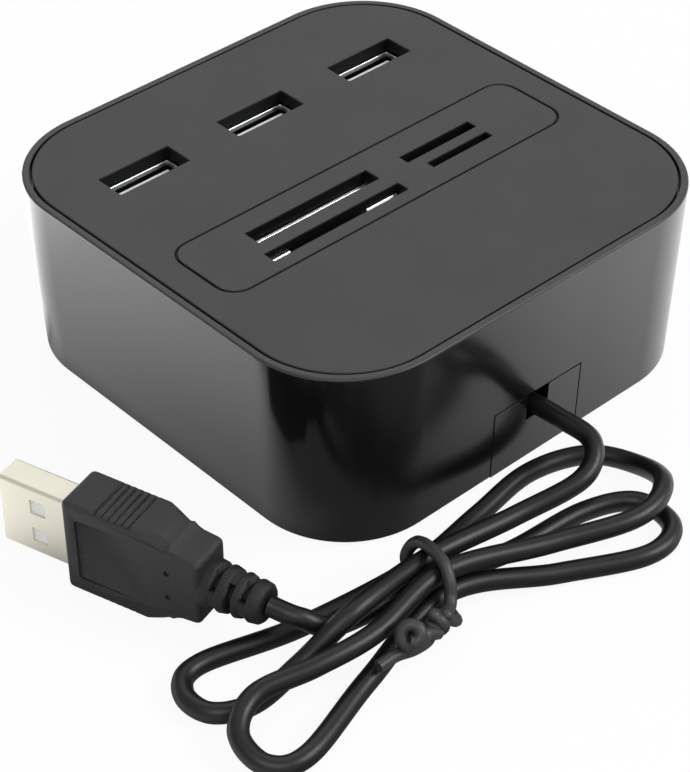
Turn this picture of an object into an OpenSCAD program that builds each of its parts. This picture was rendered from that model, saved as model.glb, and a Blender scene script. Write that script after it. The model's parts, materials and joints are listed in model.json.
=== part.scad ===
// Desktop hub with three upright ports and four card slots, and its captive cord.
// Millimetres, +Z up. The origin is on the floor under the centre of the housing.
// The cord leaves through the -Y wall; the ports stand on the +Y side of the top.

/* [Housing] */
// Width of the square housing across its rim
body_w = 80; // [78:1:90]
// Height of the side walls, from their bottom edge to the rim
body_h = 30.8; // [30:0.2:36]
// Radius of the upright corners at the rim
corner_r = 16.8; // [12:0.2:19]
// How far each wall leans in by its bottom edge
draft = 1.3; // [0.6:0.1:2]
// Thickness of the side walls
wall_t = 1.8; // [1.4:0.1:2.4]
// Width of the rim that frames the top plate
rim_w = 1.2; // [0.8:0.1:1.4]
// Dark seam between the rim and the top plate
seam_w = 0.35; // [0.2:0.05:0.6]
// Thickness of the top plate
plate_t = 2.2; // [1.8:0.1:3]
// Width of the ledge that carries the top plate
ledge_w = 1.6; // [1.2:0.1:2.4]
// Thickness of that ledge
ledge_t = 1.4; // [1.2:0.1:2]
// Thickness of the base cover
base_t = 2; // [1.8:0.1:3]
// Running clearance between moulded covers
cover_gap = 0.15; // [0.1:0.05:0.3]

/* [Feet and screws] */
// Radius of a rubber foot
foot_r = 4; // [3:0.25:5]
// Thickness of a rubber foot
foot_t = 1.4; // [1:0.1:1.6]
// How far the feet stand below the housing
foot_proud = 0.6; // [0.4:0.1:0.9]
// Distance of each foot's centre in from the rim
foot_in = 13; // [12:0.5:15]
// Distance of the screw posts in from the rim, along X
post_in = 6.8; // [6.4:0.1:7.2]
// Distance of the screw posts from the middle, along Y
post_y = 14; // [10:0.5:15]
// Radius of a screw post
post_r = 3; // [2.6:0.1:3.1]
// Radius of a cover screw's shank
screw_r = 1.1; // [0.9:0.1:1.3]
// Radius of a cover screw's head
head_r = 2.1; // [1.8:0.1:2.3]
// Height of a cover screw's head
head_t = 1.1; // [0.8:0.1:1.2]
// Length of a cover screw's shank
screw_l = 9; // [7:0.5:10]

/* [Top face] */
// Distance of the framed field's ends in from the rim
field_in = 6.15; // [5.5:0.05:8]
// Width of the framed field
groove_h = 14.9; // [14:0.1:16]
// Corner radius of the groove
groove_r = 3.6; // [2:0.1:5]
// Width of the groove itself
groove_w = 0.6; // [0.4:0.1:1]
// Depth of the groove
groove_d = 0.5; // [0.3:0.1:0.8]
// Centre of the framed field along Y
field_y = -4.4; // [-5.2:0.1:-4]

/* [Ports] */
// Distance of the two outer ports' centres in from the rim
port_in = 17.2; // [17:0.1:19]
// Centre line of the ports along Y
port_y = 21.3; // [20:0.1:22]
// Inside width of a port's metal shell
port_w = 12.5; // [12.4:0.1:12.8]
// Inside depth of a port's metal shell, front to back
port_d = 5.12; // [5.0:0.02:5.3]
// Sheet thickness of a port's shell
port_sheet = 0.3; // [0.25:0.05:0.4]
// Length of a port's shell, from its mouth down
port_l = 14; // [12:0.5:15]
// Depth of the mouth below the top face
mouth_depth = 2.5; // [2.4:0.1:3.2]
// Space round the mouth in the top plate
port_ease = 0.35; // [0.2:0.05:0.5]
// Thickness of the white tongue
tongue_t = 1.84; // [1.6:0.04:2]
// Width of the tongue
tongue_w = 11.1; // [10.6:0.1:11.4]
// Space between the tongue and the back wall of the shell
tongue_gap = 0.72; // [0.6:0.04:0.9]
// How far the tongue stays below the mouth
tongue_dip = 0.7; // [0.6:0.1:1.5]

/* [Card slots] */
// Width of the slot for the long stick card
stick_w = 23.7; // [22.5:0.1:24]
// Opening of the slot for the long stick card
stick_h = 3.1; // [3:0.1:3.4]
// Width of the slot for the full-size card
card_w = 26.2; // [25:0.1:26.6]
// Opening of the slot for the full-size card
card_h = 2.4; // [2.3:0.1:2.8]
// Width of the slot for the short stick card
short_w = 14.4; // [13.5:0.1:15]
// Opening of the slot for the short stick card
short_h = 2; // [1.8:0.1:2.4]
// Width of the slot for the small card
small_w = 12.4; // [11.6:0.1:13]
// Opening of the slot for the small card
small_h = 1.6; // [1.4:0.1:1.8]
// Centre of the two wide slots along X
wide_x = -10.6; // [-11:0.1:-10]
// Right-hand end of the two narrow slots along X
narrow_end = 21.6; // [21:0.1:22.4]
// Centre of the long stick card's slot along Y
stick_y = -2.7; // [-3:0.1:-2.5]
// Centre of the full-size card's slot along Y
card_y = -8; // [-8.2:0.1:-7.8]
// Centre of the short stick card's slot along Y
short_y = -3.1; // [-3.3:0.1:-2.9]
// Centre of the small card's slot along Y
small_y = -6.8; // [-7:0.1:-6.6]
// Space between the wide card socket and the main board
socket_clear = 2.5; // [2:0.1:4]
// How much higher the narrow card socket ends
narrow_rise = 5; // [4:0.1:6]

/* [Boards] */
// Thickness of the main board and the upright boards
board_t = 1.6; // [1.2:0.1:1.8]
// Distance of the main board's ends in from the rim
board_in = 11; // [10.5:0.1:12]
// Height of the standoffs under the main board
standoff_h = 2.4; // [2:0.1:3]

/* [Cord] */
// Diameter of the cord
cord_d = 3; // [2.8:0.1:3]
// Diameter of the twist tie
tie_d = 1.5; // [1.2:0.1:1.5]
// Half width of the tab that closes the cord notch
tab_half = 8.8; // [7:0.1:10]
// Height of the tab above the bottom edge
tab_h = 12; // [11.6:0.1:13]
// Width of the notch that the cord leaves through
notch_w = 4.4; // [4:0.1:5]
// Depth of the notch below the tab's top edge
notch_d = 4.6; // [4.6:0.1:5]

/* [Plug] */
// Thickness of the plug's metal shell
plug_t = 4.5; // [4.4:0.05:4.6]
// Width of the plug's metal shell
plug_w = 12; // [11.9:0.05:12.1]
// Length of the shell that stands out of the grip
plug_out = 11.8; // [11.4:0.1:12.2]
// Depth of the shell inside the grip
plug_in = 4; // [3:0.5:6]
// Thickness of the grip
grip_t = 8; // [7.4:0.1:8.4]
// Width of the grip
grip_w = 16; // [15:0.2:16]
// Length of the grip's full-width block
grip_l = 15; // [14:0.5:17]
// Length of the ribbed boot
boot_l = 9; // [8:0.5:9]
// Radius of the boot where it meets the grip
boot_r = 3.9; // [3.4:0.1:3.9]
// Radius of the boot at the cord
boot_end_r = 3.1; // [2.6:0.1:3.4]

/* [Hidden] */
$fn = 48;
eps = 0.01;

// Levels, from the floor up
body_bot = foot_proud;
body_top = body_bot + body_h;
plate_bot = body_top - plate_t;
base_top = body_bot + base_t;
board_bot = base_top + standoff_h;
board_top = board_bot + board_t;
mouth_z = body_top - mouth_depth;
port_bot = mouth_z - port_l;
socket_top = plate_bot - cover_gap;
socket_bot = board_top + socket_clear;
narrow_bot = socket_bot + narrow_rise;

// Places of the four card slots: centre x, centre y, width, opening
short_x = narrow_end - short_w / 2;
small_x = narrow_end - small_w / 2;
SLOTS = [
    [wide_x, stick_y, stick_w, stick_h],
    [wide_x, card_y, card_w, card_h],
    [short_x, short_y, short_w, short_h],
    [small_x, small_y, small_w, small_h]
];

// Places that follow the housing's width
half_w = body_w / 2;
corner_at = half_w - corner_r;
plate_in = rim_w + seam_w;
foot_at = half_w - foot_in;
post_x = half_w - post_in;
field_l = body_w - 2 * field_in;
port_pitch = half_w - port_in;
board_w = body_w - 2 * board_in;

// Sockets: sheet and skin, and the face that the reader board stands on
sheet = 0.3;
socket_skin = 0.8;
socket_floor = 1.2;
reader_y = card_y - card_h / 2 - socket_skin;
wide_left = wide_x - card_w / 2 - socket_skin;
wide_right = wide_x + card_w / 2 + socket_skin;
wide_back = stick_y + stick_h / 2 - sheet;
narrow_left = short_x - short_w / 2 - socket_skin;
narrow_right = narrow_end + socket_skin;
narrow_back = short_y + short_h / 2 + sheet;

// Ports and boards
port_back = port_y + port_d / 2 + port_sheet;
tongue_y = port_d / 2 - tongue_gap - tongue_t;
insulator_h = 4;
blade_w = 1;
blade_t = 0.25;
board_edge = 2;
board_reach = 10;
board_front = reader_y - board_t - board_reach;
board_back = port_back + board_t + board_edge;
standoff_in = 4;
standoff_x = board_w / 2 - standoff_in;
standoff_y = [board_front + standoff_in, port_y - 7.5];
standoff_r = 2.5;
board_screw_r = 0.9;
board_head_r = 1.7;
board_head_t = 1;
chip_y = (board_front + board_back) / 2 + 4;

// Clamp behind the cord notch, and the four wires from it to the board
clamp_w = 8;
clamp_l = 5;
clamp_in = 4;
clamp_y = clamp_in - half_w;
clamp_rib = 1.6;
cord_z = body_bot + tab_h - notch_d + cord_d / 2;
wire_r = 0.5;
wire_pitch = 1.6;
wire_lap = 4.6;

// Plug: where the cord enters its boot, and the way its tip points
plug_at = [-54.6, -2.4, 8];
plug_turn = 107;

// Cord route: centre points from the clamp, round the bundle, to the plug's boot.
// The Y of this route, the tie's and the plug's is measured from the rim of the -Y wall.
CORD = [
    [0, clamp_in, cord_z], [0, -3.5, 10], [0, -10, 9.5], [-5, -13, 7.5],
    [-16, -10.5, 5.5], [-32, -9, 6.4], [-47, -11, 8], [-56, -10, 3.4],
    [-64, -10, 1.8], [-69.2, -7.2, 1.7], [-69.4, -2, 1.7], [-64.5, 0.4, 1.7],
    [-50, -3.5, 1.7], [-32, -6.8, 3.3], [-17, -4, 1.7], [-5, -2.5, 1.7],
    [4, -5.5, 1.8], [7.5, -12, 2.2], [5, -19.5, 4.9], [-3, -22, 5],
    [-16, -17.2, 4.8], [-32, -12.4, 6.4], [-46, -14.4, 6.1], [-56, -13.6, 6],
    [-64.5, -11.2, 4.9], [-69.8, -13.8, 3.4], [-69.8, -19.2, 1.9], [-64.5, -21.4, 1.7],
    [-50, -17, 1.7], [-32, -13.5, 3.3], [-17, -20, 1.7], [-5, -26, 1.7],
    [1.8, -24.3, 1.7], [2, -17.4, 1.7], [-5.5, -13.6, 1.7], [-19, -12.4, 1.8],
    [-32, -10.1, 3.3], [-47.5, -8.8, 4.4], [-52.4, -6.4, 7], plug_at
];

// Tie route: from one end, round the bundle, to the other end
TIE = [
    [-43.5, -23, 0.9], [-39, -22, 0.9], [-36, -20.4, 0.9], [-34.2, -18.4, 1.4],
    [-33, -17, 3.2], [-32.7, -15.8, 6.2], [-32.4, -12.6, 8.9], [-32.2, -9, 9],
    [-32, -5.8, 7.4], [-31.9, -4, 4.4], [-31.8, -4.6, 1.8], [-31.7, -7.2, 0.9],
    [-31.6, -10.2, 0.8], [-31.6, -13.6, 0.8], [-31.9, -17, 0.8],
    [-33, -20.4, 0.9], [-35, -23.4, 0.9], [-38.5, -25, 0.9]
];

// A point on a smooth curve through a list of points, at whole step k plus share t
function point_at(p, k, t) = let (
    n = len(p) - 1,
    a = k > 0 ? p[k - 1] : 2 * p[0] - p[1],
    b = p[k],
    c = p[k + 1],
    d = k + 2 <= n ? p[k + 2] : 2 * p[n] - p[n - 1]
) 0.5 * (2 * b + (c - a) * t + (2 * a - 5 * b + 4 * c - d) * t * t
    + (3 * b - a - 3 * c + d) * t * t * t);

// The curve's centre points, each step cut into parts
function curve(p, parts) = [
    for (k = [0:len(p) - 2], j = [0:parts - 1]) point_at(p, k, j / parts),
    p[len(p) - 1]
];

function unit(v) = v / norm(v);

// The way the curve runs at point k
function heading(c, k) = unit(c[min(k + 1, len(c) - 1)] - c[max(k - 1, 0)]);

// A round tube swept along a curve, with the headings of its two end faces
module tube(route, parts, r, sides, first, last) {
    c = curve(route, parts);
    n = len(c);
    rings = [for (k = [0:n - 1]) let (
        h = k == 0 ? first : k == n - 1 ? last : heading(c, k),
        across = unit(cross(h, [0, 0.02, 1])),
        over = cross(across, h)
    ) for (s = [0:sides - 1]) let (a = 360 * s / sides)
        c[k] + r * (cos(a) * across + sin(a) * over)];
    skin = [for (k = [0:n - 2], s = [0:sides - 1]) let (
        e = (s + 1) % sides, a = k * sides
    ) each [
        [a + s, a + sides + s, a + sides + e],
        [a + s, a + sides + e, a + e]
    ]];
    ends = [
        [for (s = [0:sides - 1]) s],
        [for (s = [sides - 1:-1:0]) (n - 1) * sides + s]
    ];
    polyhedron(rings, concat(skin, ends), convexity = 10);
}

// Half the housing's width at a height
function half_at(z) = half_w - draft * (body_top - z) / body_h;

// The housing's tapered form between two heights, grown by an amount
module drafted(z0, z1, grow) {
    a = half_at(z0) + grow;
    b = half_at(z1) + grow;
    wall = [[-a, z0], [a, z0], [b, z1], [-b, z1]];
    for (x = [-1, 1], y = [-1, 1])
        translate([x * corner_at, y * corner_at, z0])
            cylinder(h = z1 - z0, r1 = a - corner_at, r2 = b - corner_at, $fn = 96);
    rotate([90, 0, 0]) linear_extrude(2 * corner_at, center = true) polygon(wall);
    rotate([90, 0, 90]) linear_extrude(2 * corner_at, center = true) polygon(wall);
}

// A flat field with round corners
module round_field(w, h, r) {
    square([w - 2 * r, h], center = true);
    square([w, h - 2 * r], center = true);
    for (x = [-1, 1], y = [-1, 1])
        translate([x * (w / 2 - r), y * (h / 2 - r)]) circle(r);
}

// A block from its low corner to its high corner
module block(low, high) {
    translate(low) cube(high - low);
}

// The places of the screw posts
module at_posts() {
    for (x = [-1, 1], y = [-1, 1]) translate([x * post_x, y * post_y, 0]) children();
}

// The places of the board's standoffs
module at_standoffs() {
    for (x = [-1, 1], y = standoff_y) translate([x * standoff_x, y, 0]) children();
}

// The tab's outline in the -Y wall
module tab_block(side) {
    block([-tab_half - side, -half_w - 1, body_bot - 1],
        [tab_half + side, -half_w + wall_t + draft + 2, body_bot + tab_h + side]);
}

module outer_shell() {
    ledge_bot = plate_bot - ledge_t;
    color([0.09, 0.09, 0.1]) difference() {
        drafted(body_bot, body_top, 0);
        drafted(body_bot - 1, ledge_bot, -wall_t);
        drafted(ledge_bot - 1, body_top, -plate_in - ledge_w);
        drafted(plate_bot, body_top + 1, -rim_w);
        tab_block(cover_gap);
    }
}

module top_plate() {
    post_len = plate_bot - base_top - cover_gap;
    color([0.32, 0.32, 0.33]) difference() {
        union() {
            drafted(plate_bot, body_top, -plate_in);
            at_posts() translate([0, 0, plate_bot - post_len]) cylinder(h = post_len + eps, r = post_r);
        }
        for (i = [-1:1]) translate([i * port_pitch, port_y, 0])
            block([-port_w / 2 - port_ease, -port_d / 2 - port_ease / 2, plate_bot - 1],
                [port_w / 2 + port_ease, port_d / 2 + port_ease / 2, body_top + 1]);
        for (s = SLOTS) translate([s[0], s[1], 0])
            block([-s[2] / 2, -s[3] / 2, plate_bot - 1], [s[2] / 2, s[3] / 2, body_top + 1]);
        translate([0, field_y, body_top - groove_d]) linear_extrude(groove_d + 1) difference() {
            round_field(field_l, groove_h, groove_r);
            round_field(field_l - 2 * groove_w, groove_h - 2 * groove_w, groove_r - groove_w);
        }
        at_posts() translate([0, 0, plate_bot - post_len - 1])
            cylinder(h = screw_l + 2, r = screw_r - 0.1);
    }
}

module base_cover() {
    color([0.1, 0.1, 0.11]) difference() {
        union() {
            drafted(body_bot, base_top, -wall_t - cover_gap);
            intersection() {
                difference() {
                    drafted(body_bot, body_bot + tab_h, 0);
                    drafted(base_top, body_bot + tab_h + 1, -wall_t);
                }
                tab_block(0);
            }
            at_standoffs() translate([0, 0, base_top - eps])
                cylinder(h = standoff_h + eps, r = standoff_r);
            // Cradle that carries the cord clamp
            block([-clamp_w / 2, clamp_y, base_top - eps],
                [clamp_w / 2, clamp_y + clamp_l, board_top - wire_r]);
        }
        // Notch for the cord
        block([-notch_w / 2, -half_w - 1, body_bot + tab_h - notch_d],
            [notch_w / 2, -half_w + wall_t + draft + 1, body_bot + tab_h + 1]);
        at_posts() {
            translate([0, 0, body_bot - 1]) cylinder(h = base_t + 2, r = screw_r + 0.2);
            translate([0, 0, body_bot - 1]) cylinder(h = 1 + head_t + 0.1, r = head_r + 0.3);
        }
        at_standoffs() translate([0, 0, base_top - 0.8])
            cylinder(h = standoff_h + 1, r = board_screw_r - 0.1);
        for (x = [-1, 1], y = [-1, 1]) translate([x * foot_at, y * foot_at, body_bot - 1])
            cylinder(h = 1 + foot_t - foot_proud, r = foot_r + cover_gap);
    }
}

// Four cover screws, up through the base into the posts of the top plate
module base_screws() {
    seat = body_bot + head_t + 0.1;
    color([0.55, 0.55, 0.57]) at_posts() difference() {
        union() {
            translate([0, 0, seat - head_t]) cylinder(h = head_t, r = head_r);
            translate([0, 0, seat - eps]) cylinder(h = screw_l, r = screw_r - 0.1);
        }
        for (a = [0, 90]) rotate(a)
            block([-head_r * 0.6, -0.25, seat - head_t - 1], [head_r * 0.6, 0.25, seat - head_t / 2]);
    }
}

module foot(i) {
    x = i % 2 == 1 ? 1 : -1;
    y = i > 2 ? 1 : -1;
    color([0.05, 0.05, 0.05]) translate([x * foot_at, y * foot_at, 0]) {
        cylinder(h = foot_t - 0.3, r = foot_r);
        translate([0, 0, foot_t - 0.3]) cylinder(h = 0.3, r1 = foot_r, r2 = foot_r - 0.3);
    }
}

module main_board() {
    color([0.05, 0.3, 0.15]) difference() {
        block([-board_w / 2, board_front, board_bot], [board_w / 2, board_back, board_top]);
        at_standoffs() translate([0, 0, board_bot - 1])
            cylinder(h = board_t + 2, r = board_screw_r + 0.2);
    }
}

module board_screws() {
    color([0.6, 0.6, 0.62]) at_standoffs() {
        translate([0, 0, board_top]) difference() {
            cylinder(h = board_head_t, r = board_head_r);
            for (a = [0, 90]) rotate(a) block([-board_head_r * 0.7, -0.2, board_head_t / 2],
                [board_head_r * 0.7, 0.2, board_head_t + 1]);
        }
        translate([0, 0, board_bot - standoff_h + 0.2])
            cylinder(h = standoff_h + board_t - 0.2 + eps, r = board_screw_r - 0.1);
    }
}

module port_board() {
    color([0.05, 0.3, 0.15]) difference() {
        block([-port_pitch - port_w / 2, port_back, board_top],
            [port_pitch + port_w / 2, port_back + board_t, mouth_z - 1]);
        for (i = [-1:1], x = [-1, 1]) translate([i * port_pitch + x * (port_w / 2 - 1), 0, 0])
            block([-0.7, port_back - 1, port_bot + 3.8], [0.7, port_back + board_t + 1, port_bot + 6.2]);
    }
}

module reader_board() {
    color([0.05, 0.3, 0.15])
        block([wide_left - 1, reader_y - board_t, board_top],
            [narrow_right + 1, reader_y, socket_top]);
}

// Folded metal shell of an upright port, with two legs through its board
module port_shell(i) {
    w = port_w / 2;
    d = port_d / 2;
    s = port_sheet;
    color([0.75, 0.75, 0.77]) translate([(i - 2) * port_pitch, port_y, 0]) {
        difference() {
            block([-w - s, -d - s, port_bot], [w + s, d + s, mouth_z]);
            block([-w, -d, port_bot - 1], [w, d, mouth_z + 1]);
            // Lead-in on the lips
            for (m = [0, 1]) mirror([m, 0, 0]) translate([w + 0.02, -d, mouth_z - 0.5])
                rotate([0, 24, 0]) cube([s, port_d, 2]);
        }
        for (x = [-1, 1]) translate([x * (w - 1), 0, 0])
            block([-0.5, d + s - eps, port_bot + 4], [0.5, d + s + board_t + 0.8, port_bot + 6]);
    }
}

// White insulator: a block in the bottom of the shell and the tongue that stands on it
module port_tongue(i) {
    foot_top = port_bot + insulator_h;
    color("white") translate([(i - 2) * port_pitch, port_y, 0]) difference() {
        union() {
            block([-port_w / 2, -port_d / 2, port_bot + 0.6], [port_w / 2, port_d / 2, foot_top]);
            block([-tongue_w / 2, tongue_y, foot_top - eps],
                [tongue_w / 2, tongue_y + tongue_t, mouth_z - tongue_dip]);
        }
        for (k = [0:3]) translate([pin_x(k), tongue_y, 0])
            block([-blade_w / 2, -blade_t, port_bot], [blade_w / 2, 0, foot_top + 1]);
    }
}

function pin_x(k) = [-3.5, -1, 1, 3.5][k];

// Four contact blades on the tongue, with tails that turn back to the board
module port_contacts(i) {
    tail_z = port_bot - 0.6;
    color("gold") translate([(i - 2) * port_pitch, port_y, 0])
        for (k = [0:3]) translate([pin_x(k), tongue_y, 0]) {
            block([-blade_w / 2, -blade_t, tail_z], [blade_w / 2, 0, mouth_z - tongue_dip - 1]);
            block([-blade_w / 2, -eps, tail_z],
                [blade_w / 2, port_back - port_y - tongue_y, tail_z + 0.3]);
        }
}

// Plastic frame that holds the two wide card slots one behind the other
module wide_socket() {
    rail = card_y + card_h / 2;
    low = socket_bot + socket_floor;
    color([0.12, 0.12, 0.13]) difference() {
        block([wide_left, reader_y, socket_bot], [wide_right, wide_back, socket_top]);
        block([wide_x - card_w / 2, card_y - card_h / 2, low],
            [wide_x + card_w / 2, rail, socket_top + 1]);
        block([wide_x - stick_w / 2, stick_y - stick_h / 2, low],
            [wide_x + stick_w / 2, wide_back + 1, socket_top + 1]);
        for (k = [0:8]) translate([wide_x + pitch_x(k, 9, 2.5), 0, 0])
            block([-0.6, reader_y - 1, low], [0.6, rail - 1, low + 1]);
    }
}

// Place of number k in a row of n, centred
function pitch_x(k, n, pitch) = (k - (n - 1) / 2) * pitch;

// Folded metal cover over the back and the ends of a socket, with its foot left open
module sheet_cover(left, right, back, low) {
    difference() {
        block([left - sheet, reader_y, low], [right + sheet, back + sheet, socket_top]);
        block([left, reader_y - 1, low - 1], [right, back, socket_top + 1]);
    }
}

module wide_socket_cover() {
    arm_z = (socket_bot + socket_top) / 2 - 3;
    arm_l = 8;
    color([0.78, 0.78, 0.8]) difference() {
        sheet_cover(wide_left, wide_right, wide_back, socket_bot + 1);
        // Windows punched round the spring arms
        for (x = [-1, 1]) translate([wide_x + x * card_w / 4, wide_back, arm_z]) {
            for (s = [-1, 1]) block([s * 1.7 - 0.3, -1, 0], [s * 1.7 + 0.3, 1, arm_l]);
            block([-2, -1, 0], [2, 1, 0.6]);
        }
    }
}

// Metal strip between the wide slots, cut away in the middle
module wide_socket_divider() {
    w = card_w / 2;
    low = socket_bot + 3;
    dip = socket_top - 5;
    color([0.78, 0.78, 0.8]) translate([wide_x, card_y + card_h / 2, 0]) rotate([90, 0, 0])
        linear_extrude(sheet) polygon([
            [-w, low], [w, low], [w * 0.88, socket_top], [w * 0.46, socket_top],
            [w * 0.34, dip], [-w * 0.54, dip], [-w * 0.7, socket_top], [-w, socket_top]
        ]);
}

// Spring contacts in a row on the front wall of a slot
module spring_row(x, y, n, pitch, low) {
    for (k = [0:n - 1]) translate([x + pitch_x(k, n, pitch), y, 0])
        block([-pitch / 6, 0, low], [pitch / 6, 0.2, low + 5.5]);
}

module wide_contacts() {
    low = socket_bot + 2 * socket_floor;
    color("gold") {
        spring_row(wide_x, card_y - card_h / 2, 9, 2.5, low);
        spring_row(wide_x, stick_y - stick_h / 2, 10, 2, low);
    }
}

// Plastic frame of the two narrow slots
module narrow_socket() {
    low = narrow_bot + socket_floor;
    color([0.12, 0.12, 0.13]) difference() {
        block([narrow_left, reader_y, narrow_bot], [narrow_right, narrow_back, socket_top]);
        block([short_x - short_w / 2, short_y - short_h / 2, low],
            [narrow_end, narrow_back + 1, socket_top + 1]);
        block([small_x - small_w / 2, small_y - small_h / 2, low + socket_floor],
            [narrow_end, small_y + small_h / 2, socket_top + 1]);
    }
}

module narrow_socket_cover() {
    color([0.3, 0.3, 0.32]) sheet_cover(narrow_left, narrow_right, narrow_back, narrow_bot + 1);
}

module narrow_contacts() {
    low = narrow_bot + 2 * socket_floor;
    color("gold") {
        spring_row(small_x, small_y - small_h / 2, 8, 1.25, low);
        spring_row(short_x, short_y - short_h / 2, 9, 1.3, low);
    }
}

// A flat-packed chip with legs on its two long sides, lying on z = 0
module chip(w, l, t, legs) {
    block([-w / 2, -l / 2, 0.1], [w / 2, l / 2, t]);
    pitch = l / legs;
    for (s = [-1, 1], k = [0:legs - 1])
        translate([s * (w / 2 + 0.4), -l / 2 + pitch * (k + 0.5), 0]) {
            block([-0.5, -pitch / 5, 0.4], [0.5, pitch / 5, 0.6]);
            block([-0.1 + s * 0.4, -pitch / 5, 0], [0.1 + s * 0.4, pitch / 5, 0.6]);
        }
}

module hub_chip() {
    color([0.08, 0.08, 0.08]) translate([-4, chip_y, board_top]) chip(5.3, 10.2, 1.7, 10);
}

module reader_chip() {
    color([0.08, 0.08, 0.08]) translate([wide_x, reader_y - board_t, (board_top + socket_top) / 2])
        rotate([90, 0, 0]) chip(7, 7, 1.4, 8);
}

module crystal() {
    can_r = 2.3;
    can_h = 3.2;
    color([0.8, 0.8, 0.8]) translate([7, chip_y, board_top]) {
        block([-can_r, -2.9, 0], [can_r, 2.9, can_h]);
        for (y = [-1, 1]) translate([0, y * 2.9, 0]) cylinder(h = can_h, r = can_r);
    }
}

// One capacitor beside each port
module capacitors() {
    cap_r = 2;
    cap_h = 5.5;
    color([0.15, 0.15, 0.35]) for (i = [-1:1])
        translate([i * port_pitch * 0.75, port_y - cap_r, board_top]) cylinder(h = cap_h, r = cap_r);
}

// Moulded block that grips the cord inside the housing
module cord_clamp() {
    top = cord_z + cord_d / 2 + 2;
    mid = clamp_y + clamp_l / 2;
    color([0.08, 0.08, 0.08]) difference() {
        block([-clamp_w / 2, clamp_y, board_top - wire_r], [clamp_w / 2, clamp_y + clamp_l, top]);
        for (x = [-1, 1]) translate([x * clamp_w / 2, mid, 0])
            block([-0.8, -clamp_rib / 2, 0], [0.8, clamp_rib / 2, top + 1]);
    }
}

// Four wires that run from the clamp along the main board
module cord_wires() {
    start = clamp_y + clamp_l;
    color([0.7, 0.1, 0.1]) for (k = [0:3])
        translate([pitch_x(k, 4, wire_pitch), start, board_top + wire_r])
            rotate([-90, 0, 0]) cylinder(h = board_front + wire_lap - start, r = wire_r, $fn = 24);
}

module cord() {
    color([0.06, 0.06, 0.06]) at_wall()
        tube(CORD, 2, cord_d / 2, 8, [0, -1, 0], [cos(plug_turn), sin(plug_turn), 0]);
}

module cord_tie() {
    color([0.06, 0.06, 0.06]) at_wall() tube(TIE, 3, tie_d / 2, 8, [1, 0, 0], [-1, 0, 0]);
}

// The rim of the -Y wall, which the cord, its tie and its plug keep their distance from
module at_wall() {
    translate([0, -half_w, 0]) children();
}

// The plug's own frame: +X from the boot to the tip, Y across its thickness
module on_plug() {
    at_wall() translate(plug_at) rotate([0, 0, plug_turn]) children();
}

neck_l = 3.4;
shoulder_l = 3.2;
neck_x = boot_l + neck_l;
block_x = neck_x + shoulder_l;
face_x = block_x + grip_l;
tip_x = face_x + plug_out;

module plug_grip() {
    hw = grip_w / 2;
    ht = grip_t / 2;
    neck_w = grip_w * 0.34;
    color([0.2, 0.2, 0.2]) on_plug() {
        difference() {
            intersection() {
                // Seen on its wide face: block, sloped shoulders and neck
                rotate([90, 0, 0]) linear_extrude(grip_t, center = true) polygon([
                    [boot_l, -neck_w], [neck_x, -neck_w - 0.5], [block_x, -hw],
                    [face_x, -hw], [face_x, hw], [block_x, hw],
                    [neck_x, neck_w + 0.5], [boot_l, neck_w]
                ]);
                // Seen on its narrow side
                linear_extrude(grip_w, center = true) polygon([
                    [boot_l, -ht + 0.4], [neck_x, -ht + 0.4], [neck_x + 1, -ht], [face_x, -ht],
                    [face_x, ht], [neck_x + 1, ht], [neck_x, ht - 0.4], [boot_l, ht - 0.4]
                ]);
                // Seen from the tip
                rotate([90, 0, 90]) linear_extrude(face_x + 1) round_field(grip_t, grip_w, 0.9);
            }
            // Grooves across both narrow sides
            for (s = [-1, 1], k = [0:5]) translate([face_x - 5.6 - k * 1.1, 0, s * hw])
                block([-0.25, -ht - 1, -0.4], [0.25, ht + 1, 0.4]);
            // Shallow panel on both wide faces
            for (s = [-1, 1]) translate([0, s * ht, 0])
                block([block_x - 0.6, -0.35, -hw + 2.6], [face_x - 2.2, 0.35, hw - 2.6]);
            // Two mould pits
            for (z = [-2.6, 1.8]) translate([block_x - 1.6, ht - 1, z])
                rotate([-90, 0, 0]) cylinder(h = 2, r = 0.45);
            // Pocket for the metal shell
            block([face_x - plug_in, -plug_t / 2, -plug_w / 2], [face_x + 1, plug_t / 2, plug_w / 2]);
        }
        boot();
    }
}

// Round boot with staggered slots
module boot() {
    slot_w = boot_l / 9;
    difference() {
        rotate([0, 90, 0]) cylinder(h = boot_l + eps, r1 = boot_end_r, r2 = boot_r);
        for (k = [0:3]) rotate([90 * (k % 2), 0, 0]) for (s = [-1, 1])
            translate([boot_l * (0.2 + 0.2 * k), s * (cord_d / 2 + 3.6), 0])
                cube([slot_w, 6, 10], center = true);
    }
}

module plug_shell() {
    w = plug_w / 2;
    t = plug_t / 2;
    s = 0.3;
    color([0.85, 0.83, 0.75]) on_plug() difference() {
        block([face_x - plug_in, -t, -w], [tip_x, t, w]);
        block([face_x - plug_in - 1, -t + s, -w + s], [tip_x + 1, t - s, w - s]);
        for (z = [-1, 1]) translate([tip_x - 6.4, 0, z * 2.55])
            block([-1.25, -t - 1, -1.25], [1.25, t + 1, 1.25]);
    }
}

module plug_insert() {
    w = plug_w / 2 - 0.3;
    t = plug_t / 2 - 0.3;
    color("white") on_plug() {
        block([face_x - plug_in, 0, -w], [tip_x - 0.4, t, w]);
        block([face_x - plug_in, -t, -w], [face_x - plug_in + 2.4, eps, w]);
    }
}

module plug_contacts() {
    color("gold") on_plug() for (k = [0:3])
        block([face_x - plug_in + 2.4, -0.2, pin_x(k) - 0.5], [tip_x - 1.6, 0, pin_x(k) + 0.5]);
}

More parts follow.
